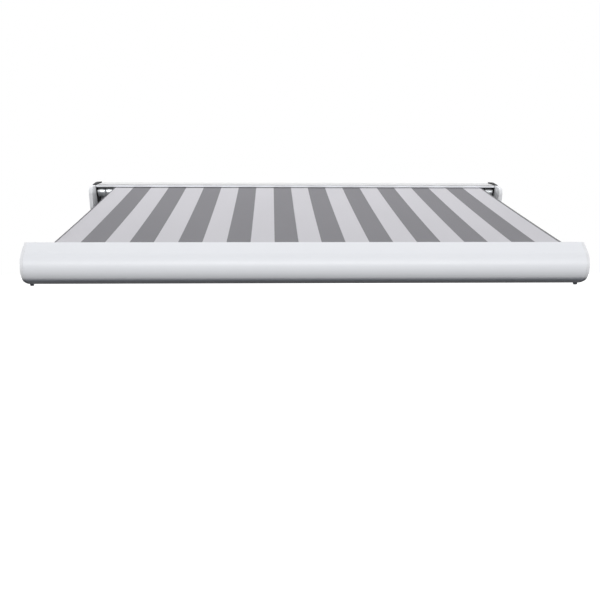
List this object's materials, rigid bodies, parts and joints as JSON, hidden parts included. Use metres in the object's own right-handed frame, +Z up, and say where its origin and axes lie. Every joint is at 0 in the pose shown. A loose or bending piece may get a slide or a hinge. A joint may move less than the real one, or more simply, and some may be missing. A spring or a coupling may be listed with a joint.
{
  "type": "folding-arm awning",
  "caption": "Full-cassette folding-arm awning with a rounded front bar and a striped fabric cover, opened out from the wall.",
  "frame": {"origin": "middle of the centre wall bracket's back face, on the wall", "axes": "+X along the wall to the right as seen from outside, +Y into the wall, +Z up; the awning reaches out towards -Y and slopes down"},
  "size_m": [3.058, 2.1365, 0.6567],
  "materials": {
    "powder_coat": "satin",
    "cap": "satin",
    "black_plastic": "matte",
    "seal": "matte",
    "casting": "satin",
    "steel": "brushed",
    "galvanised": "spangled",
    "cloth": "woven",
    "motor": "satin"
  },
  "bodies": {
    "wall_brackets": {"wall_bracket_left": "powder_coat", "wall_bracket_centre": "powder_coat", "wall_bracket_right": "powder_coat", "hinge_bolt_left": "steel", "hinge_bolt_centre": "steel", "hinge_bolt_right": "steel", "clamp_bolt_left": "steel", "clamp_bolt_centre": "steel", "clamp_bolt_right": "steel"},
    "cassette": {"back_profile": "powder_coat", "hood": "powder_coat", "hood_brush": "seal", "end_gasket_left": "seal", "end_gasket_right": "seal", "cassette_end_cap_left": "cap", "cassette_end_cap_right": "cap", "arm_bracket_left": "casting", "arm_bracket_right": "casting", "shoulder_pin_left": "steel", "shoulder_pin_right": "steel", "tube_motor": "motor", "roller_plate_left": "galvanised", "roller_plate_right": "galvanised", "cable_gland": "black_plastic", "carrier_left": "galvanised", "carrier_centre": "galvanised", "carrier_right": "galvanised", "cloth_cover": "cloth"},
    "roller": {"roller_tube": "galvanised", "cloth_roll": "cloth", "idler_plug": "black_plastic", "motor_crown": "black_plastic", "drive_wheel": "black_plastic"},
    "upper_arm_right": {"shoulder_casting_right": "casting", "upper_arm_right": "powder_coat", "elbow_fork_right": "casting", "elbow_pin_right": "steel", "elbow_belt_right": "black_plastic"},
    "upper_arm_left": {"shoulder_casting_left": "casting", "upper_arm_left": "powder_coat", "elbow_fork_left": "casting", "elbow_pin_left": "steel", "elbow_belt_left": "black_plastic"},
    "forearm_right": {"elbow_tongue_right": "casting", "forearm_right": "powder_coat", "arm_spring_right": "steel", "wrist_casting_right": "casting"},
    "forearm_left": {"elbow_tongue_left": "casting", "forearm_left": "powder_coat", "arm_spring_left": "steel", "wrist_casting_left": "casting"},
    "front_bar": {"front_profile": "powder_coat", "hem_rod": "black_plastic", "front_end_cap_left": "cap", "front_end_cap_right": "cap", "wrist_bracket_left": "casting", "wrist_bracket_right": "casting", "wrist_pin_left": "steel", "wrist_pin_right": "steel"}
  },
  "joints": [
    {"name": "pitch", "type": "hinge", "parent": "wall_brackets", "child": "cassette", "pos_m": [0, -0.078, -0.05], "axis": [1, 0, 0], "range_deg": [-7.5, 17.5]},
    {"name": "roller_turn", "type": "hinge", "parent": "cassette", "child": "roller", "pos_m": [0, -0.20246, 0.05864], "axis": [1, 0, 0], "range_deg": [-2700, 5]},
    {"name": "shoulder_right", "type": "hinge", "parent": "cassette", "child": "upper_arm_right", "pos_m": [1.36, -0.21011, -0.04549], "axis": [0, -0.2164, 0.9763], "range_deg": [-66.62, 0], "deforming": ["cloth_cover"]},
    {"name": "shoulder_left", "type": "hinge", "parent": "cassette", "child": "upper_arm_left", "pos_m": [-1.36, -0.21011, -0.04549], "axis": [0, -0.2164, 0.9763], "range_deg": [0, 66.62]},
    {"name": "elbow_right", "type": "hinge", "parent": "upper_arm_right", "child": "forearm_right", "pos_m": [0.98716, -1.11105, -0.24522], "axis": [0, -0.2164, 0.9763], "range_deg": [0, 133.24], "deforming": ["elbow_belt_right"]},
    {"name": "elbow_left", "type": "hinge", "parent": "upper_arm_left", "child": "forearm_left", "pos_m": [-0.98716, -1.11105, -0.24522], "axis": [0, -0.2164, 0.9763], "range_deg": [-133.24, 0], "deforming": ["elbow_belt_left"]},
    {"name": "wrist_right", "type": "hinge", "parent": "forearm_right", "child": "front_bar", "pos_m": [1.36, -2.01199, -0.44495], "axis": [0, -0.2164, 0.9763], "range_deg": [-66.62, 0]}
  ],
  "couplings": [
    {"joint": "elbow_right", "follows": "shoulder_right", "ratio": -2},
    {"joint": "wrist_right", "follows": "shoulder_right", "ratio": 1},
    {"joint": "shoulder_left", "follows": "shoulder_right", "ratio": -1},
    {"joint": "elbow_left", "follows": "shoulder_right", "ratio": 2},
    {"joint": "roller_turn", "follows": "shoulder_right", "ratio": 37.255}
  ]
}
